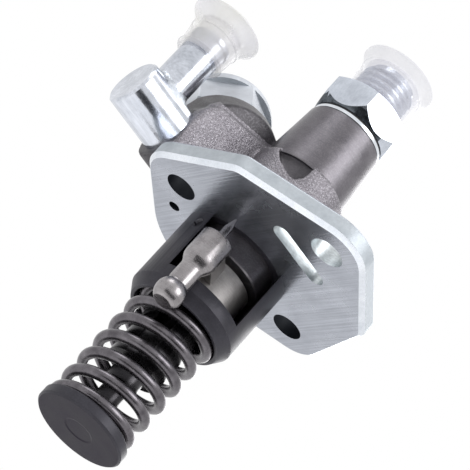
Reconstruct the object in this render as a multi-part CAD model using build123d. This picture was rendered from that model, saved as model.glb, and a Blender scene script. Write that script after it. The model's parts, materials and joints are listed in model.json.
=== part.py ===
from build123d import *
from math import cos, radians, sin, sqrt
import os

os.makedirs("parts", exist_ok=True)

# Frame: the origin is on the plunger axis, in the plane of the flange's mounting face.
# +Z points along the axis to the fuel outlet, +X along the line of the two main stud holes,
# and -Y to the third stud hole. Lengths are millimetres and angles are degrees.

# Fits and clearances
plungerFit = 0.03
sleeveFit = 0.05
valveFit = 0.04
seatGap = 0.3
softGap = 0.3
footGap = 0.1

# Mounting flange
flangeT = 4.0
flangeChamfer = 0.9
flangeRound = 0.5
studHoleR = 3.3
studX = 18.25
lobeR = 8.4
noseY = -30.5
noseHoleR = 3.6
noseR = 8.3
cornerX = 17.5
cornerY = -19.35
cornerR = 4.5
rearRimR = 20.6
dowelHoleR = 1.25
dowelX = -13.75
dowelY = 7.1
slotLength = 15.0
slotWidth = 4.1
slotX = 0.3
slotY = -21.1

# Pilot sleeve below the flange
pilotR = 12.0
pilotLength = 19.4
pilotChamferH = 2.4
pilotChamferW = 1.5
springChamberR = 9.8
neckR = 11.0
noseBossR = 9.1
noseBossLength = 5.0
ledgeDepth = 13.3
ringHeight = 5.1
windowAzimuth = -111.5
windowWidth = 17.5
cagePinR = 1.1
cagePinDepth = 3.0
cagePinRecess = 0.7
cagePinGrip = 2.5
cagePinAzimuths = (-168.0, 12.0)

# Cast body
footTopZ = 21.2
footTopR = 10.4
footBaseR = 12.3
footFlareH = 3.0
columnBaseR = 9.65
columnTopR = 8.5
columnTopZ = 36.0
columnEdge = 0.4
footFlareLip = 0.6
pocketAzimuth = -138.5
pocketFloorR = 8.9
pocketOutline = ((-4.2, 0.0), (-3.9, -0.8), (-2.1, -2.9), (1.4, -4.9), (3.0, -4.9), (3.9, -3.4), (4.1, 0.0))
ribFrontY = 5.0
ribEndX = -23.8
ribCornerR = 5.5
ribLeftZ = 20.4
ribRightZ = 24.0
ribRightX = -8.2
ribRoundR = 1.2
ribRearZ = 12.5
ribCrestT = 3.0
ribHeelR = 6.4
bossX = -11.3
bossY = 17.7
bossZ = 21.5
bossTilt = 45.0
bossR = 11.6
bossBaseR = 13.0
bossLength = 8.5

# Fuel passages in the body
chamberR = 7.0
chamberDepth = 7.5
sumpR = 2.4
sumpDepth = 13.5
galleryR = 7.9
galleryZ = 18.6
galleryT = 2.6
feedR = 1.2

# Fuel inlet elbow, its tube parallel to the plunger axis
inletY = 11.5
inletZ = 11.55
inletBossR = 6.6
inletBoreR = 1.7
spigotR = 3.6
spigotLength = 6.5
elbowR = 5.7
elbowHeadX = -36.4
elbowHeadEdge = 0.5
tubeX = -29.8
tubeR = 4.15
tubeTopZ = 31.2
tubeBeadR = 4.45
tubeBeadH = 1.6
tubeBoreR = 2.6
sealWireR = 0.6
sealGrooveDepth = 1.2
sealPlace = 2.2

# Plunger barrel and plunger
plungerR = 3.25
barrelShankR = 5.0
barrelShankEndZ = -13.0
barrelHeadR = 6.6
barrelHeadZ = 16.0
barrelTopZ = 25.0
barrelPortR = 1.25
barrelDowelR = 1.25
plungerTopZ = 15.4
helixDepth = 0.9
helixTilt = 28.0
helixSpan = 9.0
helixWidth = 3.2
helixDrop = 5.0
helixSlotWidth = 1.6
helixGrooveWidth = 2.0
helixGrooveDrop = 7.0
dowelHeight = 4.0
vaneWidth = 4.0
vaneSpan = 11.2
vaneTopZ = -24.0
vaneHeight = 6.0
collarR = 3.5
collarEndZ = -36.4
plungerNeckR = 2.55
plungerFootR = 4.0
plungerFootT = 1.7

# Control sleeve, arm and ball pin
sleeveR = 7.8
sleeveGapZ = 1.0
sleeveSkirtR = 6.0
sleeveTubeBoreR = 5.2
sleeveEndZ = -32.0
sleeveEndT = 1.4
armAzimuth = -131.8
armT = 4.6
armTopZ = -7.0
armHalfWidth = 2.6
armRoot = 0.4
sleeveSlotRoom = 1.0
pinStandOff = 2.65
pinR = 3.4
pinEdge = 0.3
pinBodyTopZ = -6.3
pinBodyEndZ = -12.2
pinConeH = 1.9
pinNeckR = 2.35
ballR = 3.15
ballZ = -21.2
ballFlatDrop = 2.4
stubR = 0.85
stubEndZ = -0.4
stubTaper = 2.6
stubPointR = 0.12

# Return spring and its seats
springWire = 2.4
springOuterR = 9.6
springTurns = 6.05
springStart = -117.5
seatPlateT = 1.4
seatPlateR = 9.6
seatPlateBoreR = 6.4
tappetR = 10.0
tappetT = 2.6
tappetEndZ = -48.6
tappetEdge = 0.4
tappetSpigotR = 6.4
tappetSpigotH = 2.0
tappetFloorT = 1.0
plungerStroke = 7.0

# Delivery valve and holder
seatCollarR = 6.5
seatCollarT = 2.6
seatNeckR = 4.4
seatTopZ = 31.5
valveStemR = 2.1
valveHeadR = 3.0
valveHeadH = 2.0
valveFootGap = 0.6
valveNoseH = 2.0
fluteDepth = 0.6
fluteWidth = 2.2
fluteEnd = 1.2
gasketT = 1.0
gasketFit = 0.1
holderShankR = 6.9
holderShankEdge = 0.5
holderShankStartZ = 28.7
chamberBoreR = 3.6
chamberTopZ = 43.0
outletBoreR = 1.0
outletConeR = 3.6
washerT = 0.7
washerR = 8.3
sealInset = 0.25
grooveR = 7.2
hexFlats = 17.0
hexBaseZ = 37.2
hexTopZ = 44.4
hexTilt = 2.0
hexBaseRim = 8.3
hexBaseBevel = 2.4
hexTopRim = 8.2
hexTopBevel = 1.0
outletThreadR = 6.0
outletThreadPitch = 1.5
threadDepth = 0.8
outletTopZ = 52.6
reliefH = 1.4
valveSpringWire = 0.8
valveSpringR = 2.9
valveSpringTurns = 6

# Rear plug
plugFlats = 19.0
plugHexH = 9.8
plugTilt = 13.0
plugBaseRim = 9.6
plugBaseBevel = 1.2
plugTopBevel = 0.2
plugHeadR = 10.6
plugHeadH = 2.6
plugHeadEdge = 0.6
plugWasherT = 1.2
plugWasherR = 9.4
plugShankLength = 6.0
plugSocketR = 4.2
plugSocketDepth = 4.0

# Clear caps
outletSkirtLowR = 6.9
outletSkirtHighR = 7.1
outletBrimR = 8.5
outletBrimZ = 53.2
outletBrimTopZ = 55.0
inletSkirtLowR = 5.2
inletSkirtHighR = 5.7
inletSkirtEndZ = 26.4
inletBrimR = 8.0
inletBrimZ = 33.0
inletBrimTopZ = 36.1
skirtWall = 0.7
brimWall = 0.9

# How far a cutting block reaches past what it trims
overrun = 1.0
blockSize = 120.0

# Places that follow from the sizes above
pinReach = pilotR + pinStandOff
springR = springOuterR - springWire / 2
seatPlateTopZ = -ledgeDepth
springTopZ = seatPlateTopZ - seatPlateT
tappetTopZ = tappetEndZ + tappetT
sleeveTopZ = -(noseBossLength + sleeveGapZ)
sleeveBodyEndZ = seatPlateTopZ + seatGap
pinPlace = (pinReach * cos(radians(armAzimuth)), pinReach * sin(radians(armAzimuth)))
plungerFootEndZ = tappetEndZ + tappetFloorT + footGap
spigotInnerX = ribEndX + spigotLength
ribRearY = inletY + inletBossR
sealX = ribEndX + sealPlace


def disc(radius, low, high):
    """A round solid on the plunger axis between two heights."""
    return Pos(0, 0, low) * Cylinder(radius, high - low, align=(Align.CENTER, Align.CENTER, Align.MIN))


def tube(outer, inner, low, high):
    """A ring on the plunger axis."""
    return disc(outer, low, high) - disc(inner, low, high)


def turned(points):
    """A solid turned about the plunger axis from (radius, height) corners."""
    outline = Polyline([(r, 0, z) for r, z in points], close=True)
    return revolve(make_face(outline), axis=Axis.Z)


def radial(azimuth, distance, height):
    """A place at an angle round the plunger axis, its X axis pointing outwards."""
    return Rot(0, 0, azimuth) * Pos(distance, 0, height)


def rod(start, end, radius):
    """A round solid from one point to another."""
    path = Vector(*end) - Vector(*start)
    place = Plane(origin=start, z_dir=path)
    return place * Cylinder(radius, path.length, align=(Align.CENTER, Align.CENTER, Align.MIN))


def hexagon(flats, low, high, cornerAngle, baseRim, baseBevel, topRim, topBevel):
    """A hexagon prism with a turned cone at each end, from its rim out to the corners."""
    corner = flats / 2 / cos(radians(30))
    prism = extrude(Pos(0, 0, low) * Rot(0, 0, cornerAngle) * RegularPolygon(corner, 6), high - low)
    points = [(0, low), (baseRim, low), (corner, low + baseBevel), (corner, high - topBevel)]
    points += [(topRim, high), (0, high)]
    return prism & turned(points)


def threaded(outer, pitch, depth, low, high):
    """A rod with ring grooves at the thread's pitch, bevelled at its top."""
    points = [(0, low), (outer - depth, low)]
    z = low
    while z + pitch <= high - depth:
        points += [(outer - depth, z + pitch * 0.12), (outer, z + pitch * 0.45)]
        points += [(outer, z + pitch * 0.55), (outer - depth, z + pitch * 0.88)]
        z += pitch
    points += [(outer - depth, high), (0, high)]
    return turned(points)


def coil(radius, wire, low, high, turns, start):
    """A right-hand compression spring that leaves its lower flat ring at the start angle."""
    bottom = low + wire / 2
    rise = high - low - wire
    path = Helix(pitch=rise / turns, height=rise, radius=radius)
    section = Plane(origin=path @ 0, z_dir=path % 0) * Circle(wire / 2)
    body = Pos(0, 0, bottom) * Rot(0, 0, start) * sweep(section, path=path, is_frenet=True)
    for z in (bottom, bottom + rise):
        body += Pos(0, 0, z) * Torus(radius, wire / 2)
    return body


def clearCap(place, lowR, highR, low, brimR, brimLow, top):
    """A push-on plastic cap: a tapered skirt, a flared brim, and an end wall set below its rim."""
    innerLow = lowR - skirtWall
    innerHigh = highR - skirtWall
    points = [(innerLow, low), (lowR, low), (highR, brimLow), (brimR, top - brimWall / 2), (brimR, top)]
    points += [(innerHigh, top), (innerHigh - brimWall / 2, top - brimWall), (0, top - brimWall)]
    points += [(0, top - 2 * brimWall), (innerHigh, top - 2 * brimWall)]
    return place * turned(points)


def save(part, name):
    """Write one node as a STEP file."""
    export_step(part, f"parts/{name}.step")


def flangePlate():
    """Flat plate whose outline wraps three stud lobes, two corners and the rear rim."""
    rounds = [Pos(side * studX, 0) * Circle(lobeR) for side in (-1, 1)]
    rounds += [Pos(side * cornerX, cornerY) * Circle(cornerR) for side in (-1, 1)]
    rounds += [Pos(0, noseY) * Circle(noseR), Circle(rearRimR)]
    outline = make_hull([edge for piece in rounds for edge in piece.edges()])
    plate = extrude(outline, flangeT)
    plate = chamfer(plate.faces().sort_by(Axis.Z)[0].edges(), flangeChamfer)
    plate = fillet(plate.faces().sort_by(Axis.Z)[-1].edges(), flangeRound)
    for x in (-studX, studX):
        plate -= Pos(x, 0, 0) * disc(studHoleR, 0, flangeT)
    plate -= Pos(0, noseY, 0) * disc(noseHoleR, 0, flangeT)
    plate -= Pos(dowelX, dowelY, 0) * disc(dowelHoleR, 0, flangeT)
    plate -= extrude(Pos(slotX, slotY, 0) * SlotOverall(slotLength, slotWidth), flangeT)
    plate -= disc(neckR, 0, flangeT)
    return plate


def bossPlace():
    """The rear boss's seat: its Z axis leans to the rear by the boss's tilt."""
    lean = radians(bossTilt)
    return Plane(origin=(bossX, bossY, bossZ), x_dir=(1, 0, 0), z_dir=(0, cos(lean), sin(lean)))


def bossDepth(depth):
    """A point on the rear boss's axis, below its seat."""
    lean = radians(bossTilt)
    return (bossX, bossY - depth * cos(lean), bossZ - depth * sin(lean))


def pumpBody():
    """The casting: foot, column, rib, inlet boss, rear boss, and every bore in them."""
    foot = turned([(0, flangeT), (footBaseR, flangeT), (footTopR + footFlareLip, flangeT + footFlareH),
                   (footTopR, footTopZ), (columnBaseR, footTopZ), (columnTopR, columnTopZ - columnEdge),
                   (columnTopR - columnEdge, columnTopZ), (0, columnTopZ)])
    outline = [(0, across, footTopZ + height) for across, height in pocketOutline]
    scoop = extrude(make_face(Polyline(*outline, close=True)), footBaseR, dir=(1, 0, 0))
    scoop -= disc(pocketFloorR, flangeT, footTopZ)
    foot -= Rot(0, 0, pocketAzimuth) * scoop

    ribFace = make_face(Polyline((0, 0, flangeT), (ribEndX, 0, flangeT), (ribEndX, 0, ribLeftZ),
                                 (ribRightX, 0, ribRightZ), (0, 0, ribRightZ), close=True))
    rib = extrude(Pos(0, ribFrontY, 0) * ribFace, ribRearY - ribFrontY, dir=(0, 1, 0))
    shoulder = rib.edges().filter_by(Axis.Y).sort_by(Axis.X)[:2].sort_by(Axis.Z)[-1]
    rib = fillet(shoulder, ribCornerR)
    side = make_face(Polyline((0, ribFrontY, flangeT), (0, ribFrontY, ribRightZ + overrun),
                              (0, ribFrontY + ribCrestT, ribRightZ + overrun), (0, ribRearY, ribRearZ),
                              (0, ribRearY, flangeT), close=True))
    rib &= extrude(Pos(ribEndX - overrun, 0, 0) * side, -ribEndX + 2 * overrun, dir=(1, 0, 0))
    heel = rib.edges().filter_by(Axis.X).sort_by(Axis.Y)[-2:].sort_by(Axis.Z)[0]
    rib = fillet(heel, ribHeelR)
    front = rib.faces().sort_by(Axis.Y)[0]
    crest = front.edges().filter_by(lambda e: e.center().Z > ribLeftZ - ribCornerR)
    rib = fillet(crest, ribRoundR)

    lean = bossPlace()
    upright = (Align.CENTER, Align.CENTER, Align.MIN)
    boss = lean * Pos(0, 0, -bossLength) * Cone(bossBaseR, bossR, bossLength, align=upright)
    corner = Pos(ribEndX + ribRoundR, ribFrontY + ribRoundR, flangeT)
    boss &= corner * Box(blockSize, blockSize, blockSize, align=(Align.MIN, Align.MIN, Align.MIN))
    inlet = rod((ribEndX, inletY, inletZ), (0, inletY, inletZ), inletBossR)
    nose = disc(noseBossR, -noseBossLength, flangeT)
    body = foot + rib + boss + inlet
    body -= Pos(0, 0, flangeT) * Box(blockSize, blockSize, blockSize, align=(Align.CENTER, Align.CENTER, Align.MAX))
    body += nose

    body -= disc(barrelShankR + valveFit, -noseBossLength, barrelHeadZ)
    body -= disc(barrelHeadR + valveFit, barrelHeadZ, barrelTopZ)
    body -= disc(holderShankR, barrelTopZ, columnTopZ)
    body -= disc(galleryR, galleryZ - galleryT / 2, galleryZ + galleryT / 2)
    body -= lean * Pos(0, 0, -chamberDepth) * Cylinder(chamberR, chamberDepth, align=upright)
    body -= rod(bossDepth(chamberDepth), bossDepth(sumpDepth), sumpR)
    body -= rod((ribEndX, inletY, inletZ), (spigotInnerX, inletY, inletZ), spigotR)
    body -= rod((spigotInnerX, inletY, inletZ), (bossX + sumpR / 2, inletY, inletZ), inletBoreR)
    body -= rod(bossDepth(sumpDepth - sumpR), (0, 0, galleryZ), feedR)
    for azimuth in cagePinAzimuths:
        body -= radial(azimuth, 0, -cagePinDepth) * crossPin(noseBossR - cagePinGrip, noseBossR + overrun)
    return body


def crossPin(inner, outer):
    """A round pin lying along the local X axis."""
    return Pos(inner, 0, 0) * Rot(0, 90, 0) * Cylinder(cagePinR, outer - inner, align=(Align.CENTER, Align.CENTER, Align.MIN))


def pilotCage():
    """Sleeve with a neck through the flange, a window for the arm and a spring ring."""
    shell = turned([(noseBossR, flangeT), (neckR, flangeT), (neckR, 0), (pilotR, 0),
                    (pilotR, pilotChamferH - pilotLength), (pilotR - pilotChamferW, -pilotLength),
                    (springChamberR, -pilotLength), (springChamberR, -ledgeDepth), (noseBossR, -ledgeDepth)])
    windowHeight = pilotLength - ringHeight
    window = Box(pilotR + overrun, windowWidth, windowHeight, align=(Align.MIN, Align.CENTER, Align.MAX))
    shell -= Rot(0, 0, windowAzimuth) * window
    for azimuth in cagePinAzimuths:
        shell -= radial(azimuth, 0, -cagePinDepth) * crossPin(noseBossR - overrun, pilotR + overrun)
    return shell


def cagePins():
    """The two cross pins, a little below the pilot's surface."""
    pin = crossPin(noseBossR - cagePinGrip, pilotR - cagePinRecess)
    return Compound(children=[radial(azimuth, 0, -cagePinDepth) * pin for azimuth in cagePinAzimuths])


def plungerBarrel():
    """Barrel with its feed ports and the flat for its dowel."""
    barrel = disc(barrelShankR, barrelShankEndZ, barrelHeadZ) + disc(barrelHeadR, barrelHeadZ, barrelTopZ)
    barrel -= disc(plungerR + plungerFit, barrelShankEndZ, barrelTopZ)
    barrel -= rod((-barrelHeadR - overrun, 0, galleryZ), (barrelHeadR + overrun, 0, galleryZ), barrelPortR)
    barrel -= Pos(0, barrelHeadR, 0) * disc(barrelDowelR, barrelHeadZ, barrelHeadZ + dowelHeight)
    return barrel


def barrelDowel():
    """Pin between the barrel's head and the body."""
    pin = Pos(0, barrelHeadR, 0) * disc(barrelDowelR, barrelHeadZ, barrelHeadZ + dowelHeight)
    return pin & disc(barrelHeadR, barrelHeadZ, barrelHeadZ + dowelHeight)


def plunger():
    """Plunger with control helix, vanes in the sleeve's slots, neck and foot."""
    neckEnd = plungerFootEndZ + plungerFootT
    part = disc(plungerR, collarEndZ, plungerTopZ) + disc(collarR, collarEndZ, vaneTopZ - vaneHeight)
    vane = Pos(0, 0, vaneTopZ) * Box(vaneSpan, vaneWidth, vaneHeight, align=(Align.CENTER, Align.CENTER, Align.MAX))
    vane &= disc(vaneSpan / 2, vaneTopZ - vaneHeight, vaneTopZ)
    part += Rot(0, 0, armAzimuth) * vane
    part += disc(plungerNeckR, neckEnd, collarEndZ)
    part += disc(plungerFootR, plungerFootEndZ, neckEnd)
    grooveLow = plungerTopZ - helixGrooveDrop
    groove = tube(plungerR + overrun, plungerR - helixDepth, grooveLow, grooveLow + helixGrooveWidth)
    ramp = Rot(helixTilt, 0, 0) * Box(2 * helixDepth, helixSpan, helixWidth)
    slot = Box(helixSlotWidth, 2 * helixDepth, helixGrooveDrop, align=(Align.CENTER, Align.CENTER, Align.MIN))
    part -= groove + Pos(plungerR, 0, plungerTopZ - helixDrop) * ramp
    return part - Pos(0, -plungerR, grooveLow) * slot


def controlSleeve():
    """Sleeve on the barrel, with a slotted tube that turns the plunger by its vanes."""
    part = tube(sleeveR, barrelShankR + sleeveFit, sleeveBodyEndZ, sleeveTopZ)
    part += tube(sleeveSkirtR, sleeveTubeBoreR, sleeveEndZ, sleeveBodyEndZ)
    part += tube(sleeveSkirtR, collarR + softGap, sleeveEndZ, sleeveEndZ + sleeveEndT)
    slotTop = vaneTopZ + plungerStroke + sleeveSlotRoom
    slotLow = sleeveEndZ + sleeveEndT
    slots = Pos(0, 0, slotLow) * Box(2 * sleeveR, vaneWidth + 2 * sleeveFit, slotTop - slotLow,
                                     align=(Align.CENTER, Align.CENTER, Align.MIN))
    return part - Rot(0, 0, armAzimuth) * slots


def controlArm():
    """Flat arm from the sleeve to the ball pin, with an eye round the pin."""
    bar = Box(pinReach - sleeveR, 2 * armHalfWidth, armT, align=(Align.MIN, Align.CENTER, Align.MAX))
    arm = radial(armAzimuth, sleeveR - armRoot, armTopZ) * bar
    arm -= disc(sleeveR, armTopZ - armT, armTopZ)
    return arm - Pos(*pinPlace, 0) * disc(pinR, armTopZ - armT, armTopZ)


def ballPin():
    """Turned pin: pointed stub, thick body, cone, neck and a ball with a flat end."""
    flatR = sqrt(ballR ** 2 - ballFlatDrop ** 2)
    neckDrop = sqrt(ballR ** 2 - pinNeckR ** 2)
    outline = Polyline((0, 0, stubEndZ), (stubPointR, 0, stubEndZ), (stubR, 0, stubEndZ - stubTaper),
                       (stubR, 0, pinBodyTopZ), (pinR - pinEdge, 0, pinBodyTopZ), (pinR, 0, pinBodyTopZ - pinEdge),
                       (pinR, 0, pinBodyEndZ), (pinNeckR, 0, pinBodyEndZ - pinConeH),
                       (pinNeckR, 0, ballZ + neckDrop))
    ball = ThreePointArc((pinNeckR, 0, ballZ + neckDrop), (ballR, 0, ballZ), (flatR, 0, ballZ - ballFlatDrop))
    close = Polyline((flatR, 0, ballZ - ballFlatDrop), (0, 0, ballZ - ballFlatDrop), (0, 0, stubEndZ))
    return Pos(*pinPlace, 0) * revolve(make_face(outline + ball + close), axis=Axis.Z)


def lowerSpringSeat():
    """Tappet disc with a spigot inside the spring and a side slot that holds the plunger's foot."""
    spigotTop = tappetTopZ + tappetSpigotH
    footLow = tappetEndZ + tappetFloorT
    footHigh = footLow + plungerFootT + 2 * footGap
    seat = disc(tappetR, tappetEndZ, tappetTopZ)
    seat = chamfer(seat.edges(), tappetEdge)
    seat += disc(tappetSpigotR, tappetTopZ, spigotTop)
    for radius, low, high in ((plungerFootR + softGap, footLow, footHigh),
                              (plungerNeckR + softGap, footHigh, spigotTop)):
        slot = Pos(0, 0, low) * Box(tappetR, 2 * radius, high - low, align=(Align.MIN, Align.CENTER, Align.MIN))
        seat -= disc(radius, low, high) + slot
    return seat


def deliveryValveSeat():
    """Seat piece on the barrel: collar, neck and the valve's guide bore."""
    seat = turned([(0, barrelTopZ), (seatCollarR, barrelTopZ), (seatCollarR, barrelTopZ + seatCollarT),
                   (seatNeckR, barrelTopZ + seatCollarT), (seatNeckR, seatTopZ), (0, seatTopZ)])
    seat -= disc(valveStemR + valveFit, barrelTopZ, seatTopZ)
    return seat


def deliveryValve():
    """Fluted stem with a head that rests on the seat and a nose inside the spring."""
    stemLow = barrelTopZ + valveFootGap
    headTop = seatTopZ + valveHeadH
    part = disc(valveStemR, stemLow, seatTopZ)
    flute = Box(2 * fluteDepth, fluteWidth, seatTopZ - stemLow - fluteEnd, align=(Align.CENTER, Align.CENTER, Align.MIN))
    for angle in (0, 90, 180, 270):
        part -= radial(angle, valveStemR, stemLow) * flute
    part += disc(valveHeadR, seatTopZ, headTop)
    part += disc(valveSpringR - valveSpringWire - softGap, headTop, headTop + valveNoseH)
    return part


def deliveryValveHolder():
    """Hexagon piece with its body shank, washer groove, outlet thread and bore."""
    shank = turned([(0, holderShankStartZ), (holderShankR - holderShankEdge, holderShankStartZ),
                    (holderShankR, holderShankStartZ + holderShankEdge), (holderShankR, columnTopZ + washerT),
                    (grooveR, columnTopZ + washerT), (grooveR, hexBaseZ), (0, hexBaseZ)])
    part = shank + hexagon(hexFlats, hexBaseZ, hexTopZ, hexTilt, hexBaseRim, hexBaseBevel, hexTopRim, hexTopBevel)
    part += disc(outletThreadR - threadDepth, hexTopZ, hexTopZ + reliefH)
    part += threaded(outletThreadR, outletThreadPitch, threadDepth, hexTopZ + reliefH, outletTopZ)
    part -= disc(seatNeckR + softGap, holderShankStartZ, seatTopZ + softGap)
    part -= disc(chamberBoreR, seatTopZ, chamberTopZ)
    part -= disc(outletBoreR, chamberTopZ, outletTopZ)
    coneLow = outletTopZ - (outletConeR - outletBoreR)
    return part - turned([(0, coneLow), (outletBoreR, coneLow), (outletConeR, outletTopZ), (0, outletTopZ)])


def inletElbow():
    """Round body along X with a blank head, a spigot in the casting and the tube."""
    def along(radius, start, end):
        return rod((start, inletY, inletZ), (end, inletY, inletZ), radius)
    barrel = along(elbowR, elbowHeadX, ribEndX)
    barrel = chamfer(barrel.edges().sort_by(Axis.X)[0], elbowHeadEdge)
    stem = Pos(tubeX, inletY, 0) * disc(tubeR, inletZ, tubeTopZ)
    bead = Pos(tubeX, inletY, 0) * disc(tubeBeadR, tubeTopZ - tubeBeadH, tubeTopZ)
    stem += chamfer(bead.edges(), tubeBeadR - tubeR)
    part = barrel + stem
    part += along(spigotR - sleeveFit, ribEndX, spigotInnerX - softGap)
    grooveEnd = sealX + 2 * sealWireR
    part -= along(spigotR, sealX, grooveEnd) - along(spigotR - sealGrooveDepth, sealX, grooveEnd)
    part -= Pos(tubeX, inletY, 0) * disc(tubeBoreR, inletZ, tubeTopZ)
    part -= along(inletBoreR, tubeX, spigotInnerX)
    return part


def rearPlug():
    """Hexagon plug with a round head above the flats, and a blind socket in its shank."""
    flatsTop = plugWasherT + plugHexH
    part = hexagon(plugFlats, plugWasherT, flatsTop, plugTilt, plugBaseRim, plugBaseBevel, plugHeadR, plugTopBevel)
    head = disc(plugHeadR, flatsTop, flatsTop + plugHeadH)
    part += fillet(head.edges().sort_by(Axis.Z)[-1], plugHeadEdge)
    part += disc(chamberR, -plugShankLength, plugWasherT)
    part -= disc(plugSocketR, -plugShankLength, -plugShankLength + plugSocketDepth)
    return bossPlace() * part


def buildAll():
    """Build every node and write it."""
    save(flangePlate(), "flange_plate")
    save(pumpBody(), "pump_body")
    save(pilotCage(), "pilot_cage")
    save(cagePins(), "cage_pins")
    save(plungerBarrel(), "plunger_barrel")
    save(barrelDowel(), "barrel_dowel")
    save(plunger(), "plunger")
    save(controlSleeve(), "control_sleeve")
    save(controlArm(), "control_arm")
    save(ballPin(), "ball_pin")
    save(tube(seatPlateR, seatPlateBoreR, springTopZ, seatPlateTopZ), "upper_spring_seat")
    save(coil(springR, springWire, tappetTopZ, springTopZ, springTurns, springStart), "plunger_spring")
    save(lowerSpringSeat(), "lower_spring_seat")
    save(deliveryValveSeat(), "delivery_valve_seat")
    save(deliveryValve(), "delivery_valve")
    springLow = seatTopZ + valveHeadH
    save(coil(valveSpringR - valveSpringWire / 2, valveSpringWire, springLow, chamberTopZ, valveSpringTurns, 0),
         "delivery_valve_spring")
    gasketLow = barrelTopZ + seatCollarT
    save(tube(seatCollarR, seatNeckR + gasketFit, gasketLow, gasketLow + gasketT), "delivery_gasket")
    save(tube(washerR, holderShankR, columnTopZ, columnTopZ + washerT), "holder_washer")
    save(tube(washerR - sealInset, grooveR, columnTopZ + washerT, hexBaseZ), "holder_o_ring")
    save(deliveryValveHolder(), "delivery_valve_holder")
    ringPlace = Plane(origin=(sealX + sealWireR, inletY, inletZ), z_dir=(1, 0, 0))
    save(ringPlace * Torus(spigotR - sealWireR, sealWireR), "inlet_o_ring")
    save(inletElbow(), "inlet_elbow")
    save(bossPlace() * tube(plugWasherR, chamberR, 0, plugWasherT), "rear_plug_washer")
    save(rearPlug(), "rear_plug")
    save(clearCap(Pos(0, 0, 0), outletSkirtLowR, outletSkirtHighR, hexTopZ + seatGap, outletBrimR, outletBrimZ,
                  outletBrimTopZ), "outlet_cap")
    save(clearCap(Pos(tubeX, inletY, 0), inletSkirtLowR, inletSkirtHighR, inletSkirtEndZ, inletBrimR, inletBrimZ,
                  inletBrimTopZ), "inlet_cap")


buildAll()
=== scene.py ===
import json
import math

import bpy
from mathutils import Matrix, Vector

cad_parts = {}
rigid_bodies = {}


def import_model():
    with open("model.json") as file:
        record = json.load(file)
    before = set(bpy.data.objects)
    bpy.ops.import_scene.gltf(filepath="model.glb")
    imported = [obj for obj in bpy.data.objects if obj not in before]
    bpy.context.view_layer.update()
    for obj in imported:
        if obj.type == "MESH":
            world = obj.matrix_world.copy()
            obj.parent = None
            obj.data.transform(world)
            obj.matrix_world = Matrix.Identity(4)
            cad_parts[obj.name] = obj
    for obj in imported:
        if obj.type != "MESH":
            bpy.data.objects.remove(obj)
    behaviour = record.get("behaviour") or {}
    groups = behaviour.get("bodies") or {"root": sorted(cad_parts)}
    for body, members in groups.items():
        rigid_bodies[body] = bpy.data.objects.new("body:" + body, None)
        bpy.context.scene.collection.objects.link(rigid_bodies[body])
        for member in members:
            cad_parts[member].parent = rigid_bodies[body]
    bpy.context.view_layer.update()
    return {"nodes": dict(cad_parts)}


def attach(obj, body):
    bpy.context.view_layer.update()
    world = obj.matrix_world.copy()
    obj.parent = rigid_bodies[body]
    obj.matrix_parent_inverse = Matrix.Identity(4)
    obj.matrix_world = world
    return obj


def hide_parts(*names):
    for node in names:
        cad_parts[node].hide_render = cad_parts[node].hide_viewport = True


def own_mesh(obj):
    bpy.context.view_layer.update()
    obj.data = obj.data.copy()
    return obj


# start from an empty scene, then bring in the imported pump
bpy.ops.object.select_all(action="SELECT")
bpy.ops.object.delete()
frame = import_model()
mm = 0.001
nodes = frame["nodes"]
scene = bpy.context.scene
print("frame loaded:", len(nodes), "nodes")

# camera, floor and light
cameraSetup = {"place": (-0.216304, -0.499718, -0.263901), "turn": (123.6103, -37.1689, -44.9769),
               "lens": 238.23, "sensor": 36, "near": 0.01, "far": 20}
cameraTurn = [math.radians(angle) for angle in cameraSetup["turn"]]
bpy.ops.object.camera_add(location=cameraSetup["place"], rotation=cameraTurn)
camera = bpy.context.object
camera.name = "photoCamera"
camera.data.lens = cameraSetup["lens"]
camera.data.sensor_width = cameraSetup["sensor"]
camera.data.clip_start = cameraSetup["near"]
camera.data.clip_end = cameraSetup["far"]
scene.camera = camera
scene.view_settings.view_transform = "Standard"

studio = {"worldLight": 0.66, "floorSize": 8.0, "floorZ": -0.62, "floorColour": (0.88, 0.88, 0.88, 1),
          "floorGlow": 0.37, "dullness": 0.9}

softBoxes = [
    # name, place, width, height, power; all aimed at the origin
    ("keyBox", (0.26, -0.82, 0.46), 0.56, 0.60, 5.0),
    ("leftBox", (-0.60, -0.10, 0.80), 0.45, 0.45, 2.0),
    ("rightBox", (0.66, 0.56, 0.42), 0.55, 0.55, 2.4),
    ("topBox", (0.28, 0.04, 0.94), 0.60, 0.60, 2.0),
]
for name, place, width, height, power in softBoxes:
    aim = (Vector((0, 0, 0)) - Vector(place)).to_track_quat("-Z", "Y").to_euler()
    bpy.ops.object.light_add(type="AREA", location=place, rotation=aim)
    lamp = bpy.context.object
    lamp.name = name
    lamp.data.shape = "RECTANGLE"
    lamp.data.size = width
    lamp.data.size_y = height
    lamp.data.energy = power


# the camera, mirror and glass rays see plain white, all other rays see the given shader
def whiteToLens(tree, plainShader, outputName):
    path = tree.nodes.new("ShaderNodeLightPath")
    first = tree.nodes.new("ShaderNodeMath")
    second = tree.nodes.new("ShaderNodeMath")
    first.operation = second.operation = "MAXIMUM"
    tree.links.new(path.outputs["Is Camera Ray"], first.inputs[0])
    tree.links.new(path.outputs["Is Glossy Ray"], first.inputs[1])
    tree.links.new(first.outputs[0], second.inputs[0])
    tree.links.new(path.outputs["Is Transmission Ray"], second.inputs[1])
    mix = tree.nodes.new("ShaderNodeMixShader")
    tree.links.new(second.outputs[0], mix.inputs[0])
    tree.links.new(plainShader, mix.inputs[1])
    tree.links.new(mix.outputs[0], tree.nodes[outputName].inputs["Surface"])
    return mix


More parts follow.
